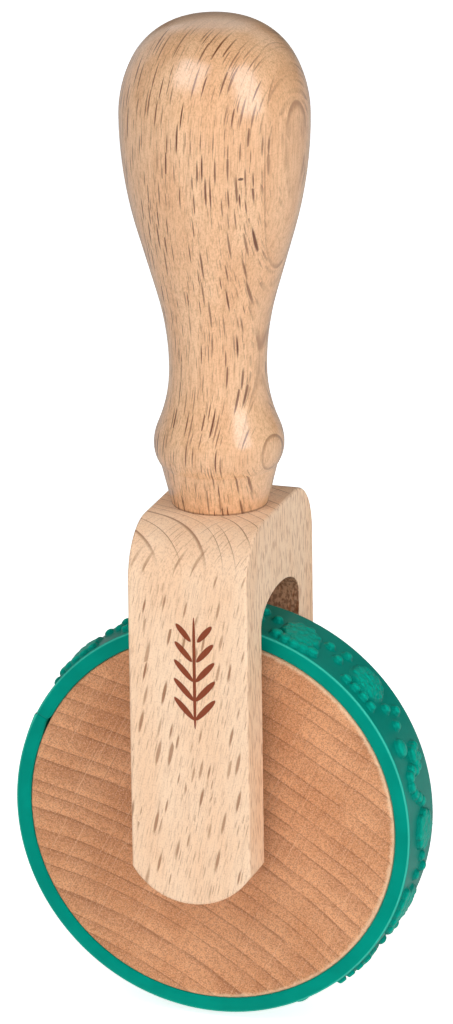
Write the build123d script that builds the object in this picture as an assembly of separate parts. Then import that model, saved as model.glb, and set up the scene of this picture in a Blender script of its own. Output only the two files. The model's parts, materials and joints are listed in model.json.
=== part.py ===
from build123d import *
import os
from math import acos, atan2, cos, degrees, hypot, radians, sin, sqrt

# Rubber pattern brayer: a turned beech handle on a slotted beech fork, which carries
# a wooden wheel with a raised-pattern rubber tyre.
#
# Every piece is drawn about the wheel's centre: +Z up the handle, the axle along Y and
# the front leg on the -Y side. The finished pieces are then lifted by the rolling
# radius, so the origin is the point where the tyre meets the table.

# ---- Driving dimensions, in millimetres ----

# Wheel and tyre
TREAD_RADIUS = 37.5         # bare tread, between the raised patterns
RELIEF_HEIGHT = 1.2         # raised pattern above the bare tread
TYRE_WALL = 2.85            # rubber under the bare tread
WHEEL_WIDTH = 15.0

# Fork
FORK_WIDTH = 22.4           # along X
FORK_DEPTH = 39.5           # along Y, over both legs
LEG_THICKNESS = 8.5
FORK_TOP = 58.3             # above the axle
SHOULDER_RADIUS = 10.0      # rounded top edges, front and rear
SLOT_TOP = 43.7             # above the axle
SLOT_ARCH_RISE = 5.2        # from the straight sides to the top
LEG_BELOW_AXLE = 12.2
LEG_END_RADIUS = 13.0

# Turned handle: heights are above the axle
HANDLE_TOP = 148.5
NECK_RADIUS = 8.7
CREASE_HEIGHT = 65.6        # where the neck's cone meets the collar bead
CREASE_RADIUS = 10.5
COLLAR_HEIGHT = 69.6
COLLAR_RADIUS = 11.75
WAIST_HEIGHT = 83.75
WAIST_RADIUS = 8.8
BALL_HEIGHT = 130.65
BALL_RADIUS = 17.1
# Radii of the arcs that the profile is turned to
COLLAR_CURVE = 8.8          # above the collar's widest point
LOWER_WAIST_CURVE = 26.5
UPPER_WAIST_CURVE = 51.0
LOWER_BALL_CURVE = 77.0
UPPER_BALL_CURVE = 22.0
CROWN_CORNER_CURVE = 13.8
CROWN_CAP_CURVE = 23.6

# Axle: one drilling from the rear, through the rear leg and the slot, blind in the front leg
AXLE_RADIUS = 3.0
RUNNING_CLEARANCE = 0.1     # radial, wheel bore around the pin
AXLE_SEAT = 5.0             # how far the pin enters the front leg
PLUG_LENGTH = 4.0

# Glued dowel between handle and fork
DOWEL_RADIUS = 4.0
DOWEL_IN_FORK = 9.5
DOWEL_IN_HANDLE = 22.0
DOWEL_GLUE_ROOM = 0.5       # hole deeper than the dowel, at each end
DOWEL_GROOVES = 8
DOWEL_GROOVE_RADIUS = 0.5

# Broken edges
FORK_EDGE = 0.5
SLOT_EDGE = 0.3
HOLE_EDGE = 0.3
CORE_EDGE = 0.5
TYRE_EDGE = 0.4
PIN_CHAMFER = 0.4
DOWEL_CHAMFER = 0.8

# Raised motifs on the tread. Large ones stand at places round the tyre and small ones half
# way between. Distances across the tread are from its middle, towards the rear rim.
PLACES = 16
FIRST_TURN = 1.5            # degrees from the top to the first place
CUSHION_ACROSS = 0.6
CUSHION_MIDDLE = 2.9
CUSHION_LOBES = 8
CUSHION_LOBE = 1.3
CUSHION_SPREAD = 2.45
BUSH_CROWN = 3.7
BUSH_CROWN_ACROSS = (-1.6, -0.2)
TUFT = 0.95
TUFT_STEP = 1.75
TUFT_ACROSS = -5.7
TUFT_BEND = 0.22            # how much further back each tuft sits, by its number squared
SHRUB_CROWN = 3.8
SHRUB_CROWN_ACROSS = (0.1, 1.1)
BLOCKS = 4
BLOCK = 0.9
BLOCK_STEP = 2.2
BLOCK_ACROSS = -4.5
SPOOR_PAD = 1.6
SPOOR_PAD_PLACE = (-1.9, -2.7)
SPOOR_HEEL = (0.5, 0.4)     # where the three toes meet
SPOOR_TOE = 0.95
SPOOR_TOE_REACHES = (0.6, 1.8, 3.0)
SPOOR_TOE_ANGLES = (30, 68, 106)
BUD = 1.0
HOOK_MIDDLE = (-2.2, -1.1)
HOOK_RADIUS = 2.3
HOOK_ANGLES = (140, 185, 230, 275, 320)
TWIG_BUDS = 2
TWIG_STEP = (1.15, 1.5)
BERRY = 0.95
BERRY_SPREAD = 2.1
BERRY_ACROSS = 1.2
BERRIES = 3
BERRY_TURN = 47             # each trio is turned this much further than the last

# ---- Worked-out dimensions ----

CORE_RADIUS = TREAD_RADIUS - TYRE_WALL
ROLLING_RADIUS = TREAD_RADIUS + RELIEF_HEIGHT
SLOT_WIDTH = FORK_DEPTH - 2 * LEG_THICKNESS
AXLE_FRONT = -SLOT_WIDTH / 2 - AXLE_SEAT
AXLE_REAR = FORK_DEPTH / 2
PIN_LENGTH = AXLE_REAR - AXLE_FRONT - PLUG_LENGTH
MOTIF_PITCH = 360.0 / PLACES

BASE = (Align.CENTER, Align.CENTER, Align.MIN)
AXLE_DIRECTION = Rot(-90, 0, 0)     # turns a +Z piece to run along +Y


def rod_along_y(radius, start_y, length):
    """A round bar along +Y from start_y, centred on the axle."""
    return Pos(0, start_y, 0) * AXLE_DIRECTION * Cylinder(radius, length, align=BASE)


def dowel_hole(low, high):
    """The hole for the handle dowel, between two heights."""
    return Pos(0, 0, low) * Cylinder(DOWEL_RADIUS, high - low, align=BASE)


# ---- Handle ----
# The profile is drawn in the XZ plane as (radius, height) points.

def s_curve(low, high, low_curve, high_curve):
    """An arc from each end and the straight line that touches both.

    The profile runs straight up at both ends: one is a widest point and the other a
    narrowest.
    """
    side = 1 if high[0] > low[0] else -1
    across = side * (high[0] - low[0]) - (low_curve + high_curve)
    up = high[1] - low[1]
    lean = acos(-(low_curve + high_curve) / hypot(across, up)) - atan2(up, across)
    bulge = 1 - cos(lean)
    low_end = (low[0] + side * low_curve * bulge, low[1] + low_curve * sin(lean))
    high_start = (high[0] - side * high_curve * bulge, high[1] - high_curve * sin(lean))
    low_arc = TangentArc(low, low_end, tangent=(0, 1))
    high_arc = TangentArc(high_start, high, tangent=(side * sin(lean), cos(lean)))
    return low_arc + Line(low_end, high_start) + high_arc


def bead(crease, collar):
    """The arc from the crease out to the collar's widest point, where it runs straight up."""
    reach = collar[0] - crease[0]
    rise = collar[1] - crease[1]
    return RadiusArc(crease, collar, -(reach**2 + rise**2) / (2 * reach))


def crown(widest, top):
    """Three arcs, each tangent to the next, from the ball's widest point to the top."""
    side_centre = Vector(widest[0] - UPPER_BALL_CURVE, widest[1])
    cap_centre = Vector(0, top[1] - CROWN_CAP_CURVE)
    # The corner arc's centre is this far from the other two centres
    from_side = UPPER_BALL_CURVE - CROWN_CORNER_CURVE
    from_cap = CROWN_CAP_CURVE - CROWN_CORNER_CURVE
    gap = cap_centre - side_centre
    along = (gap.length**2 + from_side**2 - from_cap**2) / (2 * gap.length)
    aside = sqrt(from_side**2 - along**2)
    outward = Vector(-gap.Y, gap.X).normalized()
    corner_centre = side_centre + gap.normalized() * along + outward * aside
    side_reach = (corner_centre - side_centre).normalized() * UPPER_BALL_CURVE
    cap_reach = (corner_centre - cap_centre).normalized() * CROWN_CAP_CURVE
    side_end = side_centre + side_reach
    cap_start = cap_centre + cap_reach
    side_arc = TangentArc(widest, side_end, tangent=(0, 1))
    corner_arc = TangentArc(side_end, cap_start, tangent=(-side_reach.Y, side_reach.X))
    cap_arc = TangentArc(cap_start, top, tangent=(-cap_reach.Y, cap_reach.X))
    return side_arc + corner_arc + cap_arc


def handle_outline():
    """Half of the turned profile: neck cone, collar bead, waist and ball."""
    crease = (CREASE_RADIUS, CREASE_HEIGHT)
    collar = (COLLAR_RADIUS, COLLAR_HEIGHT)
    waist = (WAIST_RADIUS, WAIST_HEIGHT)
    ball = (BALL_RADIUS, BALL_HEIGHT)
    top = (0, HANDLE_TOP)
    neck = Polyline(top, (0, FORK_TOP), (NECK_RADIUS, FORK_TOP), crease)
    collar_to_waist = s_curve(collar, waist, COLLAR_CURVE, LOWER_WAIST_CURVE)
    waist_to_ball = s_curve(waist, ball, UPPER_WAIST_CURVE, LOWER_BALL_CURVE)
    return neck + bead(crease, collar) + collar_to_waist + waist_to_ball + crown(ball, top)


def make_handle():
    turned = revolve(Plane.XZ * make_face(handle_outline()), Axis.Z)
    return turned - dowel_hole(FORK_TOP, FORK_TOP + DOWEL_IN_HANDLE + DOWEL_GLUE_ROOM)


def make_handle_dowel():
    """Grooved beech dowel, half hidden in the fork and half in the handle."""
    length = DOWEL_IN_FORK + DOWEL_IN_HANDLE
    dowel = Cylinder(DOWEL_RADIUS, length, align=BASE)
    dowel = chamfer(dowel.edges().filter_by(GeomType.CIRCLE), DOWEL_CHAMFER)
    groove = Cylinder(DOWEL_GROOVE_RADIUS, length, align=BASE)
    grooves = [place * groove for place in PolarLocations(DOWEL_RADIUS, DOWEL_GROOVES)]
    return Pos(0, 0, FORK_TOP - DOWEL_IN_FORK) * (dowel - grooves)


# ---- Fork ----

def side_profile():
    """The fork in the YZ plane: a block with rounded shoulders."""
    height = FORK_TOP + LEG_BELOW_AXLE
    middle = (FORK_TOP - LEG_BELOW_AXLE) / 2
    block = Pos(0, middle) * Rectangle(FORK_DEPTH, height)
    shoulders = block.vertices().group_by(Axis.Y)[-1]
    return fillet(shoulders, SHOULDER_RADIUS)


def slot_profile():
    """The slot in the YZ plane: straight sides under a low elliptical arch, open at the bottom."""
    springing = SLOT_TOP - SLOT_ARCH_RISE
    height = springing + LEG_BELOW_AXLE + 2 * LEG_END_RADIUS
    sides = Pos(0, springing - height / 2) * Rectangle(SLOT_WIDTH, height)
    return sides + Pos(0, springing) * Ellipse(SLOT_WIDTH / 2, SLOT_ARCH_RISE)


def front_profile():
    """The fork in the XZ plane: straight sides and a round lower end."""
    half = FORK_WIDTH / 2
    centre = LEG_END_RADIUS - LEG_BELOW_AXLE
    corner = centre - sqrt(LEG_END_RADIUS**2 - half**2)
    outline = Polyline((-half, corner), (-half, FORK_TOP), (half, FORK_TOP), (half, corner))
    outline += ThreePointArc((half, corner), (0, -LEG_BELOW_AXLE), (-half, corner))
    return make_face(outline)


def make_fork():
    along_x = extrude(Plane.YZ * side_profile(), FORK_WIDTH, both=True)
    along_y = extrude(Plane.XZ * front_profile(), FORK_DEPTH, both=True)
    block = along_x & along_y
    block = fillet(block.edges(), FORK_EDGE)
    slot = extrude(Plane.YZ * slot_profile(), FORK_WIDTH, both=True)
    fork = block - slot
    slot_edges = [
        edge
        for edge in fork.edges()
        if abs(edge.center().Y) < SLOT_WIDTH / 2 + SLOT_EDGE
        and abs(edge.center().X) > FORK_WIDTH / 2 - SLOT_EDGE
    ]
    fork = fillet(slot_edges, SLOT_EDGE)
    fork -= rod_along_y(AXLE_RADIUS, AXLE_FRONT, AXLE_REAR - AXLE_FRONT)
    return fork - dowel_hole(FORK_TOP - DOWEL_IN_FORK - DOWEL_GLUE_ROOM, FORK_TOP)


# ---- Axle ----

def make_axle_pin():
    pin = rod_along_y(AXLE_RADIUS, AXLE_FRONT, PIN_LENGTH)
    return chamfer(pin.edges().filter_by(GeomType.CIRCLE), PIN_CHAMFER)


def make_axle_plug():
    return rod_along_y(AXLE_RADIUS, AXLE_REAR - PLUG_LENGTH, PLUG_LENGTH)


# ---- Wheel ----

def make_wheel_core():
    disc = rod_along_y(CORE_RADIUS, -WHEEL_WIDTH / 2, WHEEL_WIDTH)
    disc = fillet(disc.edges().filter_by(GeomType.CIRCLE), CORE_EDGE)
    bore_radius = AXLE_RADIUS + RUNNING_CLEARANCE
    core = disc - rod_along_y(bore_radius, -WHEEL_WIDTH / 2, WHEEL_WIDTH)
    rims = [
        edge
        for edge in core.edges().filter_by(GeomType.CIRCLE)
        if abs(edge.radius - bore_radius) < HOLE_EDGE
    ]
    return chamfer(rims, HOLE_EDGE)


def round_pad(along, across, radius):
    """One raised disc, at an arc length along the tread and a distance across it.

    It starts inside the rubber and stands proud of the finished pattern, which is cut
    back to the rolling radius afterwards.
    """
    root = TREAD_RADIUS - TYRE_WALL / 2
    pad = Cylinder(radius, 2 * (ROLLING_RADIUS - root), align=BASE)
    turn = degrees(along / TREAD_RADIUS)
    return Rot(0, turn, 0) * Pos(0, across, root) * pad


def pads_round(middle, spread, radius, angles):
    """Discs on a circle around a point of the tread, at angles in degrees."""
    return [
        round_pad(
            middle[0] + spread * cos(radians(angle)),
            middle[1] + spread * sin(radians(angle)),
            radius,
        )
        for angle in angles
    ]


def even_angles(count, start=0.0):
    return [start + 360.0 * i / count for i in range(count)]


def leafy_cushion():
    """A round bush seen from above."""
    middle = (0, CUSHION_ACROSS)
    lobes = pads_round(middle, CUSHION_SPREAD, CUSHION_LOBE, even_angles(CUSHION_LOBES))
    return [round_pad(*middle, CUSHION_MIDDLE)] + lobes


def round_bush():
    """A crown over a bent row of five tufts."""
    crown = [round_pad(0, across, BUSH_CROWN) for across in BUSH_CROWN_ACROSS]
    tufts = [round_pad(TUFT_STEP * i, TUFT_ACROSS + TUFT_BEND * i**2, TUFT) for i in range(-2, 3)]
    return crown + tufts


def thorny_shrub():
    """A crown over a straight row of blocks."""
    crown = [round_pad(0, across, SHRUB_CROWN) for across in SHRUB_CROWN_ACROSS]
    first = -BLOCK_STEP * (BLOCKS - 1) / 2
    blocks = [round_pad(first + BLOCK_STEP * i, BLOCK_ACROSS, BLOCK) for i in range(BLOCKS)]
    return crown + blocks


def spoor():
    """A round pad and a fan of three toes."""
    toes = [pads_round(SPOOR_HEEL, reach, SPOOR_TOE, SPOOR_TOE_ANGLES) for reach in SPOOR_TOE_REACHES]
    return [round_pad(*SPOOR_PAD_PLACE, SPOOR_PAD)] + sum(toes, [])


def hooked_twig():
    """A string of buds that hooks round at one end."""
    hook = pads_round(HOOK_MIDDLE, HOOK_RADIUS, BUD, HOOK_ANGLES)
    last = radians(HOOK_ANGLES[-1])
    end = (HOOK_MIDDLE[0] + HOOK_RADIUS * cos(last), HOOK_MIDDLE[1] + HOOK_RADIUS * sin(last))
    buds = [
        round_pad(end[0] + TWIG_STEP[0] * i, end[1] + TWIG_STEP[1] * i, BUD)
        for i in range(1, TWIG_BUDS + 1)
    ]
    return hook + buds


def berry_trio(place):
    """Three berries in a triangle, turned differently at each place."""
    angles = even_angles(BERRIES, start=BERRY_TURN * place)
    return pads_round((0, BERRY_ACROSS), BERRY_SPREAD, BERRY, angles)


# From the top of the tyre, clockwise as seen from the front. The strip's ends meet beside
# the place that has none.
LARGE_MOTIFS = (leafy_cushion, round_bush, thorny_shrub, spoor) * 2 + (
    leafy_cushion, spoor, leafy_cushion, spoor, leafy_cushion, None, round_bush, thorny_shrub,
)
TWIG_PLACES = (3, 15)


def turned_motif(pads, steps):
    """A motif's pads cut back to the rolling radius and turned to a place on the tyre."""
    outer = rod_along_y(ROLLING_RADIUS, -WHEEL_WIDTH / 2, WHEEL_WIDTH)
    motif = pads[0].fuse(*pads[1:]) & outer
    return Rot(0, FIRST_TURN + steps * MOTIF_PITCH, 0) * motif


def make_stamp_tyre():
    ring = rod_along_y(TREAD_RADIUS, -WHEEL_WIDTH / 2, WHEEL_WIDTH)
    ring = fillet(ring.edges().filter_by(GeomType.CIRCLE), TYRE_EDGE)
    opening = rod_along_y(CORE_RADIUS, -WHEEL_WIDTH / 2, WHEEL_WIDTH)
    large = [
        turned_motif(motif(), place)
        for place, motif in enumerate(LARGE_MOTIFS)
        if motif
    ]
    small = [
        turned_motif(hooked_twig() if place in TWIG_PLACES else berry_trio(place), place + 0.5)
        for place in range(PLACES)
    ]
    return ring.fuse(*large, *small) - opening


# ---- The assembly ----

pieces = {
    "handle": make_handle(),
    "handle_dowel": make_handle_dowel(),
    "fork": make_fork(),
    "axle_pin": make_axle_pin(),
    "axle_plug": make_axle_plug(),
    "wheel_core": make_wheel_core(),
    "stamp_tyre": make_stamp_tyre(),
}

os.makedirs("parts", exist_ok=True)
for name, piece in pieces.items():
    export_step(Pos(0, 0, ROLLING_RADIUS) * piece, f"parts/{name}.step")
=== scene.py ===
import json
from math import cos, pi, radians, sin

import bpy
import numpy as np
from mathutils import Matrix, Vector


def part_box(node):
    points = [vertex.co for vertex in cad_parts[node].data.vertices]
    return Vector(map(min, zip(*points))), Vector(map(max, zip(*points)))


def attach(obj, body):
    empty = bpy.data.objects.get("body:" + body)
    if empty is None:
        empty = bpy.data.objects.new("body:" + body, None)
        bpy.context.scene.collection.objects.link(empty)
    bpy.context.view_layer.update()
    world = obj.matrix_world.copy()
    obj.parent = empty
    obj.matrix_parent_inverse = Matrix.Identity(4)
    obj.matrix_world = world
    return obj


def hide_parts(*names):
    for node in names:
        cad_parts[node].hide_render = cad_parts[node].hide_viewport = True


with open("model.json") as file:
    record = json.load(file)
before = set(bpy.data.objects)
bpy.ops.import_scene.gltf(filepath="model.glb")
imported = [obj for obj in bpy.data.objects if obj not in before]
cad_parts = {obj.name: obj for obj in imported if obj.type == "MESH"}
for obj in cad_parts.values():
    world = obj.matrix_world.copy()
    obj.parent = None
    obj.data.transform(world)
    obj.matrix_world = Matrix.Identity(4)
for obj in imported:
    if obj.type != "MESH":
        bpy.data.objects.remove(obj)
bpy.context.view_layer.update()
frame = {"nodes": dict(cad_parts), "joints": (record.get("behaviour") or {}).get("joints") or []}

# Materials, moulded relief, light and camera for the rubber pattern brayer: a beech handle and
# fork, a wheel with end-grain faces and a green rubber tyre.
#
# Lengths named *_MM, and every length inside a material or a motif, are in millimetres. Meshes,
# lights and the camera are in metres, in the row frame: origin under the wheel, +Z up the handle,
# the axle along Y and the front leg on the -Y side.

MM = 0.001

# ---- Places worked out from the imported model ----

core_low, core_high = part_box("wheel_core")
fork_low, fork_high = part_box("fork")
handle_low, handle_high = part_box("handle")
tyre_low, tyre_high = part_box("stamp_tyre")

AXLE = Vector(frame["joints"][0]["pos_m"])
AXLE_MM = AXLE.z / MM
CORE_RADIUS_MM = (core_high.x - core_low.x) / 2 / MM
ROLLING_RADIUS_MM = (tyre_high.x - tyre_low.x) / 2 / MM
TYRE_HALF_WIDTH_MM = (tyre_high.y - tyre_low.y) / 2 / MM
FORK_FRONT_MM = fork_low.y / MM
FORK_TOP_MM = fork_high.z / MM
LEG_THICKNESS_MM = 8.5
SLOT_HALF_WIDTH_MM = -FORK_FRONT_MM - LEG_THICKNESS_MM
HANDLE_FOOT_MM = handle_low.z / MM
HANDLE_TOP_MM = handle_high.z / MM
BALL_RADIUS_MM = (handle_high.x - handle_low.x) / 2 / MM


def direction(azimuth, elevation):
    """From the object towards a viewer or light. Azimuth 0 is the -Y side, 90 is +X."""
    a, e = radians(azimuth), radians(elevation)
    return Vector((sin(a) * cos(e), -cos(a) * cos(e), sin(e)))


# ---- A short way to write shader nodes ----

class Nodes:
    """Adds shader nodes to a material or world. Its methods give an output socket to use next."""

    def __init__(self, owner):
        owner.use_nodes = True
        self.owner = owner
        self.tree = owner.node_tree
        self.tree.nodes.clear()

    def add(self, kind, inputs=(), output=0, **settings):
        """Adds one node. Its inputs are values or sockets, by name or number."""
        node = self.tree.nodes.new(kind)
        for key, value in settings.items():
            setattr(node, key, value)
        for key, value in dict(inputs).items():
            if isinstance(value, bpy.types.NodeSocket):
                self.tree.links.new(value, node.inputs[key])
            elif value is not None:
                node.inputs[key].default_value = value
        return node.outputs[output] if node.outputs else None

    def math(self, operation, a, b=None, c=None, clamp=False):
        return self.add("ShaderNodeMath", {0: a, 1: b, 2: c}, operation=operation, use_clamp=clamp)

    def times(self, a, b):
        return self.math("MULTIPLY", a, b)

    def minus(self, a, b):
        return self.math("SUBTRACT", a, b)

    def over(self, a, b):
        return self.math("DIVIDE", a, b)

    def absolute(self, a):
        return self.math("ABSOLUTE", a)

    def scaled(self, value, scale, offset):
        """value * scale + offset"""
        return self.math("MULTIPLY_ADD", value, scale, offset)

    def vector(self, operation, a, b=None):
        output = "Value" if operation == "LENGTH" else "Vector"
        return self.add("ShaderNodeVectorMath", {0: a, 1: b}, output, operation=operation)

    def split(self, vector):
        """The three parts of a vector or colour."""
        return self.add("ShaderNodeSeparateXYZ", {0: vector}).node.outputs

    def join(self, x, y, z):
        return self.add("ShaderNodeCombineXYZ", {0: x, 1: y, 2: z})

    def place_mm(self):
        """The point being shaded, in the row frame at rest, in millimetres."""
        place = self.add("ShaderNodeTexCoord", output="Object")
        return self.vector("MULTIPLY", place, (1 / MM, 1 / MM, 1 / MM))

    def noise(self, vector, size, detail=2.0, roughness=0.5):
        """Noise from 0 to 1, whose features are about this many millimetres across."""
        sizes = size if isinstance(size, tuple) else (size, size, size)
        vector = self.vector("DIVIDE", vector, sizes)
        inputs = {"Vector": vector, "Scale": 1.0, "Detail": detail, "Roughness": roughness}
        return self.add("ShaderNodeTexNoise", inputs)

    def fade(self, value, start, end):
        """0 at start, 1 at end, smooth in between. Start may be the larger."""
        inputs = {"Value": value, "From Min": start, "From Max": end}
        return self.add("ShaderNodeMapRange", inputs, interpolation_type="SMOOTHSTEP")

    def ramp(self, value, start, end, low, high):
        """Low at start, high at end, a straight line in between."""
        inputs = {"Value": value, "From Min": start, "From Max": end, "To Min": low, "To Max": high}
        return self.add("ShaderNodeMapRange", inputs)

    def by_ray(self, kind, others, these):
        """One value for rays of this kind, such as camera or glossy rays, and one for all others."""
        is_kind = self.add("ShaderNodeLightPath", output=f"Is {kind} Ray")
        return self.ramp(is_kind, 0.0, 1.0, others, these)

    def mix(self, share, a, b):
        """Colour a where the share is 0, colour b where it is 1."""
        a, b = (v if isinstance(v, bpy.types.NodeSocket) else (*v, 1.0) for v in (a, b))
        # The node has sockets of the same names for plain numbers, so these go by number.
        factor_input, a_input, b_input, colour_output = 0, 6, 7, 2
        inputs = {factor_input: share, a_input: a, b_input: b}
        return self.add("ShaderNodeMix", inputs, colour_output, data_type="RGBA")

    def bump(self, height_mm):
        """A normal for a height given in millimetres."""
        return self.add("ShaderNodeBump", {"Height": height_mm, "Distance": MM, "Strength": 1.0})

    def finish(self, **inputs):
        """The finished material. Its inputs are named as on the principled shader."""
        inputs = {key.replace("_", " "): value for key, value in inputs.items()}
        surface = self.add("ShaderNodeBsdfPrincipled", inputs)
        self.add("ShaderNodeOutputMaterial", {"Surface": surface})
        return self.owner


def srgb(red, green, blue):
    """A colour given as 0 to 255 screen values, as linear light."""
    def linear(v):
        v /= 255
        return v / 12.92 if v <= 0.04045 else ((v + 0.055) / 1.055) ** 2.4
    return tuple(linear(v) for v in (red, green, blue))


def from_axle(nodes, place):
    """Distance from the axle, in millimetres."""
    x, _, z = nodes.split(place)
    return nodes.vector("LENGTH", nodes.join(x, 0.0, nodes.minus(z, AXLE_MM)))


# ---- Wood ----

class Wood(Nodes):
    """Solid wood: the figure runs through the piece, so every cut face shows its own grain.

    The pith is where the rings are centred. Rays are thin upright ribbons that run towards
    ray_azimuth, so they show as dashes on a face turned that way and as lines on end grain.
    The grain leans by this share of its height above or below the level.
    """

    def __init__(
        self, name, pith, ring_width, ray_azimuth, lean=0.0, level=0.0, wander=1.0, along="Z"
    ):
        super().__init__(bpy.data.materials.new(name))
        self.place = self.place_mm()
        self.normal = self.add("ShaderNodeTexCoord", output="Normal")
        self.ring_width = ring_width
        x, y, z = self.split(self.place)
        facing_x, facing_y, facing_z = self.split(self.normal)
        if along == "Y":
            y, z = z, y
            facing_y, facing_z = facing_z, facing_y
        x = self.scaled(self.minus(z, level), -lean, x)
        side, depth = sin(radians(ray_azimuth)), -cos(radians(ray_azimuth))
        across = self.weighted(x, -depth, y, side)
        inward = self.weighted(x, side, y, depth)
        self.grain = self.join(across, z, inward)
        self.facing_rays = self.absolute(self.weighted(facing_x, side, facing_y, depth))
        self.end_grain = self.fade(self.absolute(facing_z), 0.25, 0.85)
        from_pith = self.join(self.minus(x, pith[0]), self.minus(y, pith[1]), 0.0)
        bend = self.noise(self.join(x, y, self.times(z, 0.3)), 14.0, detail=1.0)
        self.out = self.scaled(bend, wander * ring_width, self.vector("LENGTH", from_pith))

    def weighted(self, a, share_a, b, share_b):
        return self.scaled(a, share_a, self.times(b, share_b))

    def ring_share(self):
        """How far through its year each point is, 0 to 1, with uneven years."""
        uneven = self.noise(self.join(self.out, 0.0, 0.0), self.ring_width * 1.7, detail=0.0)
        return self.math("FRACT", self.scaled(uneven, 1.5, self.over(self.out, self.ring_width)))

    def late_wood(self):
        """Rises slowly through each year and drops at its end."""
        share = self.ring_share()
        return self.times(self.fade(share, 0.1, 0.9), self.fade(share, 1.0, 0.93))

    def ring_lines(self, width, patchy=(0.3, 0.6)):
        """A thin line at the end of each year, patchy along its length."""
        share = self.ring_share()
        before = 0.96 - width / self.ring_width
        line = self.times(self.fade(share, before, 0.96), self.fade(share, 1.0, 0.965))
        return self.times(line, self.fade(self.noise(self.place, 6.0), *patchy))

    def rays(self, pitch, half_width, half_length, chance):
        """Lens-shaped ribbons, up to 1 inside, each with its own size and tone.

        Pitch is their spacing across, along and inward, in mm. Chance is the share of places used.
        """
        inward_reach = 1.4
        cell = self.vector("DIVIDE", self.grain, pitch)
        texture = self.add("ShaderNodeTexVoronoi", {"Vector": cell, "Scale": 1.0}).node
        offset = self.vector("SUBTRACT", cell, texture.outputs["Position"])
        thinness = (pitch[0] / half_width, pitch[1] / half_length, inward_reach)
        spread = self.vector("LENGTH", self.vector("MULTIPLY", offset, thinness))
        luck, size, tone = self.split(texture.outputs["Color"])
        spread = self.over(spread, self.scaled(size, 0.75, 0.5))
        lens = self.times(self.fade(spread, 1.0, 0.5), self.math("LESS_THAN", luck, chance))
        return self.times(lens, self.scaled(tone, 0.45, 0.55))

    def pores(self, width, length, start, end):
        """Fine streaks along the grain, dots on end grain."""
        streaks = self.noise(self.grain, (width, length, width), detail=1.5, roughness=0.6)
        return self.fade(streaks, start, end)

    def tint(self, colour, mask, strength, shade):
        """Lays a shade over a colour where the mask is 1."""
        return self.mix(self.math("MULTIPLY", mask, strength, clamp=True), colour, shade)

    def finished(self, colour, height_mm, roughness, coat=0.0):
        return self.finish(
            Base_Color=colour,
            Roughness=roughness,
            Specular_IOR_Level=0.35,
            Normal=self.bump(height_mm),
            Coat_Weight=coat,
            Coat_Roughness=0.21,
            Coat_IOR=1.7,
        )


def handle_wood():
    """Lacquered beech, flat-sawn: dark dashes all round, and ring ovals on the +X side."""
    wood = Wood(
        "turned_beech", pith=(36.3, -9.1), ring_width=3.4, ray_azimuth=-14.0,
        lean=0.05, level=HANDLE_FOOT_MM, wander=0.5,
    )
    height = wood.split(wood.place)[2]
    facing_x, _, facing_z = wood.split(wood.normal)
    dark, brown = srgb(102, 44, 6), srgb(172, 110, 60)
    cloud = wood.noise(wood.place, (8.0, 8.0, 26.0), detail=3.0)
    facing = wood.scaled(wood.fade(wood.facing_rays, 0.1, 0.5), 0.85, 0.15)
    strong = wood.rays(pitch=(1.15, 5.0, 9.0), half_width=0.18, half_length=3.1, chance=0.95)
    faint = wood.rays(pitch=(0.75, 2.8, 5.0), half_width=0.09, half_length=1.5, chance=0.85)
    strong, faint = wood.times(strong, facing), wood.times(faint, facing)
    fine = wood.pores(width=0.2, length=2.6, start=0.44, end=0.74)
    long_streaks = wood.pores(width=0.34, length=16.0, start=0.46, end=0.66)
    grit = wood.noise(wood.place, 0.34)
    ring_show = wood.times(wood.fade(facing_x, 0.35, 0.85), 0.55)
    # Painted highlight: the crown of the ball, where it faces up, is tinted paler.
    crown = wood.fade(facing_z, 0.88, 1.0)
    # Painted shade: a dark band at the handle's foot, where it meets the fork.
    crease_shade = wood.fade(height, HANDLE_FOOT_MM + 0.5, HANDLE_FOOT_MM + 0.15)
    colour = wood.mix(wood.fade(cloud, 0.3, 0.72), srgb(255, 209, 165), srgb(247, 194, 147))
    colour = wood.tint(colour, wood.late_wood(), 0.12, srgb(196, 140, 98))
    colour = wood.tint(colour, wood.ring_lines(0.32), ring_show, dark)
    colour = wood.tint(colour, wood.fade(grit, 0.45, 0.72), 0.26, brown)
    colour = wood.tint(colour, long_streaks, 0.22, brown)
    colour = wood.tint(colour, fine, 0.36, brown)
    colour = wood.tint(colour, faint, 0.55, dark)
    colour = wood.tint(colour, strong, 1.0, dark)
    colour = wood.tint(colour, tiny_pit(wood), 0.9, srgb(84, 44, 26))
    # Painted highlight on the crown.
    colour = wood.tint(colour, crown, 0.3, srgb(255, 228, 208))
    # Painted shade at the handle's foot.
    colour = wood.tint(colour, crease_shade, 0.6, srgb(90, 50, 30))
    tool_marks = wood.noise(wood.join(height, 0.0, 0.0), 0.3, detail=3.0)
    relief_mm = wood.scaled(strong, -0.03, wood.times(tool_marks, 0.008))
    roughness = wood.scaled(grit, 0.25, 0.28)
    return wood.finished(colour, relief_mm, roughness, coat=1.0)


def tiny_pit(wood):
    """1 in one small dark pit on the front of the ball."""
    azimuth, below_top, flatness = 33.6, 25.5, 1.6
    just_inside = 0.97 * BALL_RADIUS_MM
    pit = direction(azimuth, 0.0) * just_inside
    offset = wood.vector("SUBTRACT", wood.place, (pit.x, pit.y, HANDLE_TOP_MM - below_top))
    distance = wood.vector("LENGTH", wood.vector("MULTIPLY", offset, (1.0, 1.0, flatness)))
    ragged = wood.scaled(wood.noise(wood.place, 0.5), -0.5, distance)
    return wood.fade(ragged, 0.32, 0.1)


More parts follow.
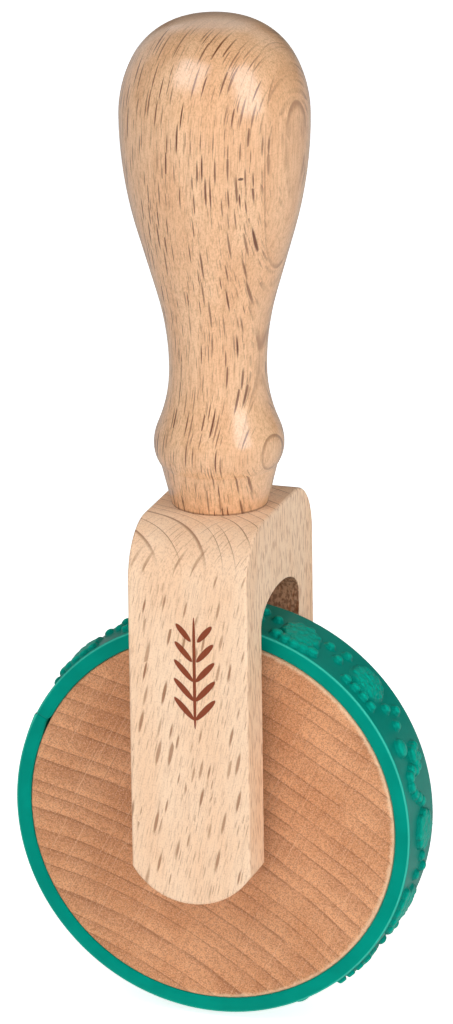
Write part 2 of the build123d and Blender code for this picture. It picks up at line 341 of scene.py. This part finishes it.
def fork_wood():
    """Bare beech with its grain leaning across the front, and a burnt sprig on the front leg."""
    wood = Wood(
        "sanded_beech", pith=(-26.0, -49.0), ring_width=2.5, ray_azimuth=-32.0,
        lean=0.21, level=FORK_TOP_MM, wander=0.5,
    )
    brown, dark = srgb(186, 130, 92), srgb(134, 80, 48)
    on_side = wood.fade(wood.absolute(wood.split(wood.normal)[0]), 0.5, 0.9)
    off_side = wood.minus(1.0, on_side)
    on_front = wood.times(off_side, wood.minus(1.0, wood.end_grain))
    cloud = wood.noise(wood.place, (7.0, 7.0, 22.0), detail=3.0)
    strong = wood.rays(pitch=(2.2, 6.2, 9.0), half_width=0.34, half_length=2.8, chance=0.9)
    faint = wood.rays(pitch=(0.9, 3.0, 6.0), half_width=0.11, half_length=1.3, chance=0.85)
    fine = wood.pores(width=0.22, length=3.4, start=0.46, end=0.72)
    strong, faint = wood.times(strong, on_front), wood.times(faint, off_side)
    fine = wood.times(fine, off_side)
    side_streaks = wood.fade(wood.noise(wood.place, (0.4, 0.55, 2.8), detail=1.5), 0.5, 0.62)
    grit = wood.noise(wood.place, 0.34)
    grit_show = wood.scaled(off_side, 0.10, 0.14)
    ring_show = wood.scaled(wood.end_grain, 0.7, 0.06)
    slot = painted_slot_shade(wood)
    slot_shade_speckle = wood.fade(wood.noise(wood.place, (0.5, 0.5, 0.8), detail=1.0), 0.4, 0.62)
    sprig = burnt_sprig(wood)
    colour = wood.mix(wood.fade(cloud, 0.3, 0.72), srgb(255, 222, 189), srgb(251, 211, 174))
    colour = wood.tint(colour, wood.late_wood(), wood.times(ring_show, 0.10), brown)
    colour = wood.tint(colour, wood.ring_lines(0.2, (0.25, 0.5)), ring_show, dark)
    colour = wood.tint(colour, wood.fade(grit, 0.48, 0.72), grit_show, brown)
    colour = wood.tint(colour, fine, 0.26, srgb(160, 108, 74))
    colour = wood.tint(colour, side_streaks, wood.times(on_side, 0.42), srgb(168, 104, 66))
    colour = wood.tint(colour, faint, 0.5, srgb(158, 104, 68))
    colour = wood.tint(colour, strong, 0.88, srgb(150, 96, 60))
    # Painted shade inside the slot, mottled with darker speckle.
    colour = wood.tint(colour, slot, 0.55, srgb(176, 94, 40))
    colour = wood.tint(colour, wood.times(slot_shade_speckle, slot), 0.6, srgb(108, 54, 26))
    colour = wood.tint(colour, sprig, 0.96, srgb(134, 48, 6))
    relief_mm = wood.scaled(strong, -0.04, wood.times(fine, -0.02))
    relief_mm = wood.scaled(sprig, -0.08, relief_mm)
    roughness = wood.scaled(grit, 0.2, 0.55)
    return wood.finished(colour, relief_mm, roughness)


def painted_slot_shade(wood):
    """1 inside the slot, where the wood is darkened by painted shade."""
    _, y, z = wood.split(wood.place)
    side_on = wood.fade(wood.absolute(wood.split(wood.normal)[0]), 0.7, 0.4)
    inside = wood.fade(wood.absolute(y), SLOT_HALF_WIDTH_MM + 0.3, SLOT_HALF_WIDTH_MM + 0.1)
    below_top = wood.fade(z, FORK_TOP_MM - 4.0, FORK_TOP_MM - 6.0)
    return wood.times(wood.times(inside, side_on), below_top)


def burnt_sprig(wood):
    """1 on a plain upright sprig: a stem with slanting leaves in pairs, small at the tip."""
    bottom, stem_x, stem_half_width = AXLE_MM + 21.5, 1.2, 0.4
    pairs, pitch, slant = 5, 3.6, 1.0
    leaf_half_length, leaf_half_width = 2.0, 0.85
    leafy_length = pairs * pitch
    x, y, z = wood.split(wood.place)
    apart = wood.absolute(wood.minus(x, stem_x))
    rise = wood.scaled(apart, -slant, wood.minus(z, bottom))
    to_leaf = wood.minus(wood.math("FRACT", wood.over(rise, pitch)), 0.5)
    to_leaf = wood.times(to_leaf, pitch / leaf_half_width)
    leaf_size = wood.scaled(wood.fade(rise, 1.5 * leafy_length, 0.3 * leafy_length), 0.5, 0.5)
    along_leaf = wood.over(wood.minus(apart, leaf_half_length), leaf_half_length)
    along_leaf = wood.over(along_leaf, leaf_size)
    leaves = wood.fade(wood.vector("LENGTH", wood.join(to_leaf, along_leaf, 0.0)), 1.0, 0.9)
    whole_pairs = wood.math("COMPARE", rise, leafy_length / 2, leafy_length / 2)
    leaves = wood.times(leaves, whole_pairs)
    stem_half_length = (leafy_length + 0.9 * pitch) / 2
    along_stem = wood.over(wood.minus(z, bottom + stem_half_length), stem_half_length)
    taper = wood.math("SUBTRACT", 1.0, wood.math("POWER", along_stem, 4.0), clamp=True)
    taper = wood.math("SQRT", taper)
    stem = wood.fade(apart, wood.times(taper, stem_half_width), 0.0)
    stem = wood.math("GREATER_THAN", stem, 0.15)
    on_front = wood.math("LESS_THAN", y, FORK_FRONT_MM + 1.0)
    return wood.times(wood.math("MAXIMUM", leaves, stem), on_front)


def dowel_wood():
    """Plain dowel stock."""
    wood = Wood("dowel_beech", pith=(-9.0, -7.0), ring_width=1.6, ray_azimuth=30.0)
    cloud = wood.noise(wood.place, (4.0, 4.0, 12.0))
    fine = wood.pores(width=0.18, length=2.6, start=0.44, end=0.76)
    dashes = wood.rays(pitch=(1.2, 3.2, 6.0), half_width=0.14, half_length=1.3, chance=0.8)
    colour = wood.mix(cloud, srgb(234, 192, 154), srgb(220, 172, 132))
    colour = wood.tint(colour, wood.late_wood(), 0.25, srgb(190, 136, 98))
    colour = wood.tint(colour, fine, 0.4, srgb(150, 100, 66))
    colour = wood.tint(colour, dashes, 0.6, srgb(140, 90, 58))
    return wood.finished(colour, wood.times(fine, -0.02), 0.6)


def wheel_wood():
    """Darker wood with its grain along the axle, so both faces show rings and rays."""
    wood = Wood(
        "end_grain_beech", pith=(-58.0, AXLE_MM - 118.0), ring_width=3.3, ray_azimuth=153.0,
        wander=0.35, along="Y",
    )
    cloud = wood.noise(wood.place, 10.0, detail=3.0)
    patches = wood.fade(wood.noise(wood.place, 14.0, detail=1.0), 0.3, 0.65)
    pale_rays = wood.rays(pitch=(0.95, 6.0, 10.0), half_width=0.10, half_length=4.0, chance=0.75)
    dark_rays = wood.rays(pitch=(2.1, 6.0, 12.0), half_width=0.13, half_length=4.0, chance=0.5)
    dots = wood.pores(width=0.22, length=5.0, start=0.42, end=0.64)
    grit = wood.noise(wood.place, 0.26, detail=1.0, roughness=0.7)
    late_show = wood.scaled(patches, 0.30, 0.08)
    pale_ray_show = wood.scaled(patches, 0.35, 0.15)
    colour = wood.mix(wood.fade(cloud, 0.3, 0.7), srgb(235, 172, 125), srgb(215, 150, 103))
    colour = wood.tint(colour, wood.late_wood(), late_show, srgb(158, 98, 62))
    colour = wood.tint(colour, wood.ring_lines(0.4, (0.25, 0.55)), 0.55, srgb(136, 80, 48))
    colour = wood.tint(colour, dark_rays, 0.30, srgb(140, 84, 52))
    colour = wood.tint(colour, dots, 0.5, srgb(146, 88, 54))
    colour = wood.tint(colour, wood.fade(grit, 0.46, 0.3), 0.45, srgb(248, 200, 164))
    colour = wood.tint(colour, pale_rays, pale_ray_show, srgb(240, 190, 152))
    # Painted highlight along the eased edge of the faces.
    colour = wood.tint(colour, painted_edge_highlight(wood), 0.5, srgb(255, 222, 184))
    relief_mm = wood.scaled(dots, -0.02, wood.times(grit, 0.03))
    roughness = wood.scaled(grit, 0.2, 0.5)
    return wood.finished(colour, relief_mm, roughness)


def painted_edge_highlight(wood):
    """1 on the eased edge of the wheel's faces, mostly on the +X side, where a painted highlight makes
    the wood paler.
    """
    x = wood.split(wood.place)[0]
    rough = wood.noise(wood.place, 1.2, detail=3.0, roughness=0.7)
    ragged = wood.scaled(rough, 1.6, from_axle(wood, wood.place))
    rim = wood.fade(ragged, CORE_RADIUS_MM - 0.2, CORE_RADIUS_MM + 0.5)
    lit_side = wood.fade(wood.scaled(wood.noise(wood.place, 6.0), 24.0, x), 2.0, 20.0)
    return wood.times(rim, lit_side)


# ---- Rubber and steel ----

RELIEF_MM = 1.2
TREAD_RADIUS_MM = ROLLING_RADIUS_MM - RELIEF_MM


def rubber():
    """Moulded green rubber: glossy, with a painted highlight along the outer edges, leafy on the
    relief.
    """
    nodes = Nodes(bpy.data.materials.new("green_rubber"))
    place = nodes.place_mm()
    radius = from_axle(nodes, place)
    from_middle = nodes.absolute(nodes.split(place)[1])
    half, tread = TYRE_HALF_WIDTH_MM, TREAD_RADIUS_MM
    cloud = nodes.noise(place, 7.0, detail=3.0)
    skin = nodes.noise(place, 0.35)
    leafy = nodes.noise(place, 0.7, detail=1.0, roughness=0.6)
    raised_part = nodes.fade(radius, tread + 0.45, tread + 0.8)
    rim_painted_highlight = nodes.fade(from_middle, half - 0.34, half - 0.16)
    rim_painted_highlight = nodes.times(rim_painted_highlight, nodes.fade(radius, tread - 0.42, tread - 0.2))
    tread_painted_shade = nodes.fade(from_middle, half - 0.3, half - 0.6)
    tread_painted_shade = nodes.times(tread_painted_shade, nodes.fade(radius, tread - 0.3, tread - 0.1))
    colour = nodes.mix(nodes.fade(cloud, 0.3, 0.7), srgb(0, 150, 132), srgb(0, 140, 123))
    # Painted shade: the tread face is darker than the tyre's sides.
    colour = nodes.mix(nodes.times(tread_painted_shade, 0.7), colour, srgb(0, 134, 118))
    # Painted light: the raised relief is lighter than the tread.
    colour = nodes.mix(nodes.times(raised_part, 0.75), colour, srgb(6, 176, 152))
    # Painted highlight along the rim's outer edges.
    colour = nodes.mix(nodes.times(rim_painted_highlight, 0.6), colour, srgb(80, 214, 190))
    relief_mm = nodes.times(nodes.times(leafy, raised_part), 0.12)
    relief_mm = nodes.scaled(skin, 0.012, relief_mm)
    return nodes.finish(
        Base_Color=colour,
        Roughness=nodes.scaled(cloud, 0.16, 0.26),
        Normal=nodes.bump(relief_mm),
        Specular_IOR_Level=0.35,
        Specular_Tint=(*srgb(60, 230, 205), 1.0),
    )


def steel():
    """Ground steel pin, with fine marks round it."""
    nodes = Nodes(bpy.data.materials.new("ground_steel"))
    marks = nodes.noise(nodes.place_mm(), (4.0, 0.12, 4.0), detail=3.0)
    return nodes.finish(
        Base_Color=nodes.mix(marks, srgb(176, 176, 180), srgb(210, 210, 212)),
        Metallic=1.0,
        Roughness=nodes.scaled(marks, 0.2, 0.25),
        Normal=nodes.bump(nodes.times(marks, 0.004)),
    )


# ---- The tyre's moulded relief ----
# Every motif is a height from 0 to 1 on a small flat map: along the tread and across it, with
# the front rim on the negative side. The seed makes repeats of a leafy or dotted motif differ,
# and the others are the same each time.

# How far apart the lumps of leaves and thorns are
LEAF_MM = 0.62
THORN_MM = 0.55


def bulge(distance, roundness):
    """1 in the middle and 0 at distance 1. The lower the roundness, the flatter the top."""
    return np.clip(1 - distance**2, 0, 1) ** roundness


def smooth(t):
    """Eases a share from 0 to 1 at both ends."""
    return t * t * (3 - 2 * t)


def domes(along, across, centres, radius, roundness=0.5):
    """Round domes of one size, merged."""
    heights = [bulge(np.hypot(along - a, across - b) / radius, roundness) for a, b in centres]
    return np.max(heights, axis=0)


def block(along, across, centre, half_run, radius):
    """A short bar along the tread with round ends, a flat top and an eased wall."""
    wall = 0.55
    past_end = np.maximum(np.abs(along - centre[0]) - half_run, 0)
    distance = np.hypot(past_end, across - centre[1])
    return smooth(np.clip((radius - distance) / wall, 0, 1))


def leafiness(along, across, pitch, seed):
    """Smooth lumps from -1 to 1, about pitch across."""
    size = 64
    grid = np.random.default_rng(seed).uniform(-1, 1, (size, size))
    a, b = along / pitch, across / pitch
    i, j = np.floor(a).astype(int), np.floor(b).astype(int)
    share_a, share_b = smooth(a - i), smooth(b - j)
    def corner(step_a, step_b):
        return grid[(i + step_a) % size, (j + step_b) % size]
    low = corner(0, 0) * (1 - share_a) + corner(1, 0) * share_a
    high = corner(0, 1) * (1 - share_a) + corner(1, 1) * share_a
    return low * (1 - share_b) + high * share_b


def on_circle(centre, radius, turn):
    """The point of a circle at this turn, in degrees."""
    return centre[0] + radius * cos(radians(turn)), centre[1] + radius * sin(radians(turn))


def round_bush(along, across, seed):
    """A domed leafy crown over a row of round tufts."""
    half_length, half_width, middle = 3.8, 4.5, -0.9
    tuft_pitch, tuft_across, tuft_bend = 1.8, -5.6, 0.22
    a, b = along / half_length, (across - middle) / half_width
    scallops = 1 + 0.06 * np.cos(9 * np.arctan2(b, a) + seed)
    crown = bulge(np.hypot(a, b) / scallops, 0.3)
    crown = crown * (0.86 + 0.14 * leafiness(along, across, LEAF_MM, seed))
    tufts = [(tuft_pitch * step, tuft_across + tuft_bend * step**2) for step in range(-2, 3)]
    return np.maximum(crown, 0.85 * domes(along, across, tufts, 1.3, 0.35))


def leafy_cushion(along, across, seed):
    """A bush seen from above: round lobes about a middle one."""
    middle, lobe_spread = (0.0, 0.6), 2.5
    lobes = [on_circle(middle, lobe_spread, turn) for turn in range(0, 360, 45)]
    cushion = domes(along, across, [middle], 3.3, 0.3)
    cushion = np.maximum(cushion, 0.94 * domes(along, across, lobes, 1.5, 0.35))
    return cushion * (0.9 + 0.1 * leafiness(along, across, LEAF_MM, seed))


def thorny_shrub(along, across, seed):
    """A spiky oval over a row of short blocks."""
    half_length, half_width, middle = 3.9, 4.4, 0.6
    first_block, block_pitch, block_across = -3.3, 2.2, -4.7
    oval = bulge(np.hypot(along / half_length, (across - middle) / half_width), 0.3)
    shrub = oval * (0.82 + 0.22 * leafiness(along, across, THORN_MM, seed))
    for step in range(4):
        centre = (first_block + block_pitch * step, block_across)
        shrub = np.maximum(shrub, 0.8 * block(along, across, centre, 0.25, 0.95))
    return shrub


def spoor(along, across, seed):
    """A round pad and a fan of three toes, each of three knuckles."""
    pad, toes_meet, toe_turns = (-1.9, -2.7), (0.5, 0.4), (30, 68, 106)
    heights = domes(along, across, [pad], 1.8, 0.4)
    for reach, radius in ((0.8, 1.1), (1.9, 1.15), (2.9, 1.1)):
        knuckles = [on_circle(toes_meet, reach, turn) for turn in toe_turns]
        heights = np.maximum(heights, 0.85 * domes(along, across, knuckles, radius, 0.4))
    return heights


def hooked_twig(along, across, seed):
    """A string of buds that hooks round at one end."""
    hook_middle, hook_radius = (-2.2, -1.1), 2.3
    hook = [on_circle(hook_middle, hook_radius, turn) for turn in range(140, 321, 45)]
    stalk = [(hook[-1][0] + 1.15 * step, hook[-1][1] + 1.5 * step) for step in (1, 2)]
    return 0.8 * domes(along, across, hook + stalk, 1.25)


def berries(along, across, seed):
    """Three round dots in a triangle."""
    middle, spread, turn = (0.0, 1.2), 2.1, 47 * seed
    dots = [on_circle(middle, spread, turn + 120 * step) for step in range(3)]
    return 0.75 * domes(along, across, dots, 1.1)


# One large motif for each place round the tyre, from the top over the +X side. One place is bare.
LARGE_MOTIFS = (leafy_cushion, round_bush, thorny_shrub, spoor) * 2 + (
    leafy_cushion, spoor, leafy_cushion, spoor, leafy_cushion, None, round_bush, thorny_shrub,
)
TWIG_PLACES = (3, 15)
FIRST_TURN = 1.5
MOTIF_REACH_MM = 7.0


def relief(turn, across):
    """Height of the tread's pattern, 0 to 1, at a turn in degrees and a place across in mm.

    Large motifs stand at even places and small ones half way between.
    """
    height = np.zeros_like(turn)
    pitch = 360 / len(LARGE_MOTIFS)
    for place, large in enumerate(LARGE_MOTIFS):
        small = hooked_twig if place in TWIG_PLACES else berries
        for motif, steps in ((large, place), (small, place + 0.5)):
            if motif is None:
                continue
            along = arc_from(turn, FIRST_TURN + steps * pitch)
            close = np.abs(along) < MOTIF_REACH_MM
            height[close] = np.maximum(height[close], motif(along[close], across[close], place))
    return height


def arc_from(turn, start):
    """Distance round the tread from one turn to another, in mm, the short way round."""
    return np.radians((turn - start + 180) % 360 - 180) * TREAD_RADIUS_MM


# ---- The tyre's mesh ----

def rounded_section():
    """The tyre's cut face as (radius, across) points in mm, without the tread, front to rear."""
    half = TYRE_HALF_WIDTH_MM
    easing = 0.45
    steps = 4
    def corner(radius, across, start):
        angles = [radians(start + 90 * i / steps) for i in range(steps + 1)]
        return [(radius + easing * sin(a), across + easing * cos(a)) for a in angles]
    inner, outer = CORE_RADIUS_MM + easing, TREAD_RADIUS_MM - easing
    front_outer = corner(outer, -half + easing, 90)
    front_inner = corner(inner, -half + easing, 180)
    rear_inner = corner(inner, half - easing, 270)
    rear_outer = corner(outer, half - easing, 0)
    return front_outer + front_inner + rear_inner + rear_outer


def build_tyre():
    """The rubber ring with its moulded tread, swept round the axle."""
    columns = 66
    rows = 1120
    sides = rounded_section()
    tread_low, tread_high = sides[0][1], sides[-1][1]
    tread = [(TREAD_RADIUS_MM, a) for a in np.linspace(tread_high, tread_low, columns)[1:-1]]
    section = np.array(sides + tread)
    turn, index = np.meshgrid(np.arange(rows) * 360 / rows, np.arange(len(section)), indexing="ij")
    radius, across = section[index, 0], section[index, 1]
    height = np.where(index >= len(sides), relief(turn, across), 0.0)
    radius, across = open_seam(turn, radius + RELIEF_MM * height, across)
    angle = np.radians(turn)
    points = np.stack([radius * np.sin(angle), across, radius * np.cos(angle)], axis=-1) * MM
    points = points.reshape(-1, 3) + np.array(AXLE)
    return mesh_from_grid("stamp_tyre_relief", points, rows, len(section))


def open_seam(turn, radius, across):
    """The butt joint where the ring's ends meet: a fine groove, a small step and lifted ends."""
    seam_turn = 297.0
    groove_depth, groove_half = 0.28, 0.30
    step_height, step_run = 0.22, 7.0
    lift_height, long_lift, short_lift = 0.5, 4.5, 1.5
    away = arc_from(turn, seam_turn)
    groove = np.clip(1 - np.abs(away) / groove_half, 0, 1)
    step = np.where(away < 0, np.clip(1 + away / step_run, 0, 1) ** 2, 0.0)
    lift = np.where(away < 0, 1 + away / long_lift, 1 - away / short_lift)
    lift = np.clip(lift, 0, 1) ** 1.5
    outside = radius > (CORE_RADIUS_MM + TREAD_RADIUS_MM) / 2
    stepped = radius + step_height * step - groove_depth * groove
    radius = np.where(outside, stepped, radius + lift_height * lift)
    on_side = np.abs(across) > TYRE_HALF_WIDTH_MM - 0.1
    across = np.where(on_side, across - np.sign(across) * groove_depth * groove, across)
    return radius, across


def mesh_from_grid(name, points, rows, columns):
    """A closed tube from a grid of points that wraps both ways."""
    row, column = np.meshgrid(np.arange(rows), np.arange(columns), indexing="ij")
    next_row, next_column = (row + 1) % rows, (column + 1) % columns
    corners = ((row, column), (row, next_column), (next_row, next_column), (next_row, column))
    faces = np.stack([r * columns + c for r, c in corners], axis=-1).reshape(-1, 4)
    mesh = bpy.data.meshes.new(name)
    mesh.from_pydata(points.tolist(), [], faces.tolist())
    mesh.update()
    mesh.polygons.foreach_set("use_smooth", [True] * len(mesh.polygons))
    return place_in_scene(name, mesh)


def place_in_scene(name, data):
    """A new object that holds this mesh, light or camera."""
    item = bpy.data.objects.new(name, data)
    bpy.context.scene.collection.objects.link(item)
    return item


# ---- Stage, light and camera ----

WHITE = (1.0, 1.0, 1.0, 1.0)

# The floor's own glow: what falls on the object, and what the camera sees near the object.
# Further out it fades to white, so that no horizon shows.
FLOOR_RADIUS = 6.0
FLOOR_GLOW = 0.29
FLOOR_SEEN = 0.80
FLOOR_WHITENS_MM = (300.0, 1500.0)

# The room: its light on the object, and how bright its walls are in reflections. The walls fade
# out between two elevations, and towards the rear between two shares of the +Y direction.
ROOM_LIGHT = 0.085
WALL_MIRRORED = 0.28
MIRRORED_BEHIND = 0.1
WALL_ELEVATION = 25.0
CEILING_ELEVATION = 55.0
LIT_SHARE, DIM_SHARE = -0.2, 0.6


def build_floor():
    """A wide round table, near white, which glows a little. In reflections it is mid grey."""
    sides = 96
    angles = [2 * pi * i / sides for i in range(sides)]
    ring = [(FLOOR_RADIUS * cos(a), FLOOR_RADIUS * sin(a), 0.0) for a in angles]
    mesh = bpy.data.meshes.new("floor")
    mesh.from_pydata(ring, [], [list(range(sides))])
    nodes = Nodes(bpy.data.materials.new("pale_floor"))
    place = nodes.place_mm()
    colour = nodes.mix(nodes.noise(place, 300.0), srgb(248, 248, 248), srgb(252, 252, 252))
    mirrored = nodes.add("ShaderNodeLightPath", output="Is Glossy Ray")
    colour = nodes.mix(mirrored, colour, srgb(120, 120, 120))
    far = nodes.fade(nodes.vector("LENGTH", place), *FLOOR_WHITENS_MM)
    seen = nodes.scaled(far, 1.0 - FLOOR_SEEN, FLOOR_SEEN)
    glow = nodes.by_ray("Camera", FLOOR_GLOW, seen)
    mesh.materials.append(
        nodes.finish(Base_Color=colour, Roughness=0.8, Emission_Color=WHITE, Emission_Strength=glow)
    )
    place_in_scene("floor", mesh)


def aim(place, target, roll=0.0):
    """A transform at place that looks at target, turned about its own line of sight."""
    back = (place - target).normalized()
    right = Vector((0, 0, 1)).cross(back).normalized()
    up = back.cross(right)
    turned_right = right * cos(roll) + up * sin(roll)
    turned_up = up * cos(roll) - right * sin(roll)
    turn = Matrix((turned_right, turned_up, back)).transposed().to_4x4()
    return Matrix.Translation(place) @ turn


# The camera, in degrees and metres. It looks at the top of the fork.
VIEW_AZIMUTH = 18.2
VIEW_ELEVATION = 18.16
VIEW_ROLL = -0.8
VIEW_DISTANCE = 1.559
LENS_MM = 304.4
VIEW_TARGET = Vector((0.0012, 0.0, AXLE.z + 0.0563))


def build_camera():
    data = bpy.data.cameras.new("camera")
    data.lens = LENS_MM
    data.sensor_width = 36.0
    data.clip_end = 20.0
    camera = place_in_scene("camera", data)
    place = VIEW_TARGET + direction(VIEW_AZIMUTH, VIEW_ELEVATION) * VIEW_DISTANCE
    camera.matrix_world = aim(place, VIEW_TARGET, radians(VIEW_ROLL))
    bpy.context.scene.camera = camera


def softbox(name, azimuth, elevation, distance, width, height, power, mirrored=True):
    """A lamp that faces the object and that the camera doesn't see."""
    data = bpy.data.lights.new(name, "AREA")
    data.shape = "RECTANGLE"
    data.size = width
    data.size_y = height
    data.energy = power
    light = place_in_scene(name, data)
    light.visible_glossy = mirrored
    light.visible_camera = False
    target = Vector((0, 0, 0.1))
    light.matrix_world = aim(target + direction(azimuth, elevation) * distance, target)


def build_lamps():
    """Two key lamps, a broad fill from the viewer's side, and two dim lamps behind."""
    softbox("left_box", azimuth=-22, elevation=48, distance=1.2, width=0.75, height=0.75, power=5.6)
    softbox("right_box", azimuth=64, elevation=30, distance=1.2, width=0.6, height=1.1, power=6.6)
    softbox(
        "front_fill", azimuth=VIEW_AZIMUTH, elevation=8, distance=1.9,
        width=1.8, height=1.2, power=9.3, mirrored=False,
    )
    softbox("back_box", azimuth=185, elevation=36, distance=2.0, width=2.4, height=0.8, power=2.2)
    softbox("left_rear_box", azimuth=-125, elevation=20, distance=1.6, width=1.2, height=1.2, power=2.2)


def build_room():
    """White to the camera. In reflections it has grey walls in front and dark ones behind."""
    world = bpy.data.worlds.new("studio")
    nodes = Nodes(world)
    _, y, z = nodes.split(nodes.add("ShaderNodeTexCoord", output="Generated"))
    ceiling, wall = sin(radians(CEILING_ELEVATION)), sin(radians(WALL_ELEVATION))
    walls = nodes.ramp(z, ceiling, wall, 0.0, WALL_MIRRORED)
    front_share = nodes.ramp(y, DIM_SHARE, LIT_SHARE, MIRRORED_BEHIND, 1.0)
    strength = nodes.by_ray("Glossy", ROOM_LIGHT, nodes.times(walls, front_share))
    strength = nodes.by_ray("Camera", strength, 1.0)
    background = nodes.add("ShaderNodeBackground", {"Color": WHITE, "Strength": strength})
    nodes.add("ShaderNodeOutputWorld", {"Surface": background})
    bpy.context.scene.world = world


# ---- Putting it together ----

def dress(node, material):
    """Gives a CAD node its material."""
    mesh = frame["nodes"][node].data
    mesh.materials.clear()
    mesh.materials.append(material)


tyre = build_tyre()
tyre.data.materials.append(rubber())
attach(tyre, "wheel")
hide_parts("stamp_tyre")

dowel = dowel_wood()
dress("handle", handle_wood())
dress("fork", fork_wood())
dress("wheel_core", wheel_wood())
dress("handle_dowel", dowel)
dress("axle_plug", dowel)
dress("axle_pin", steel())

build_floor()
build_lamps()
build_room()
build_camera()
bpy.context.scene.view_settings.view_transform = "Standard"
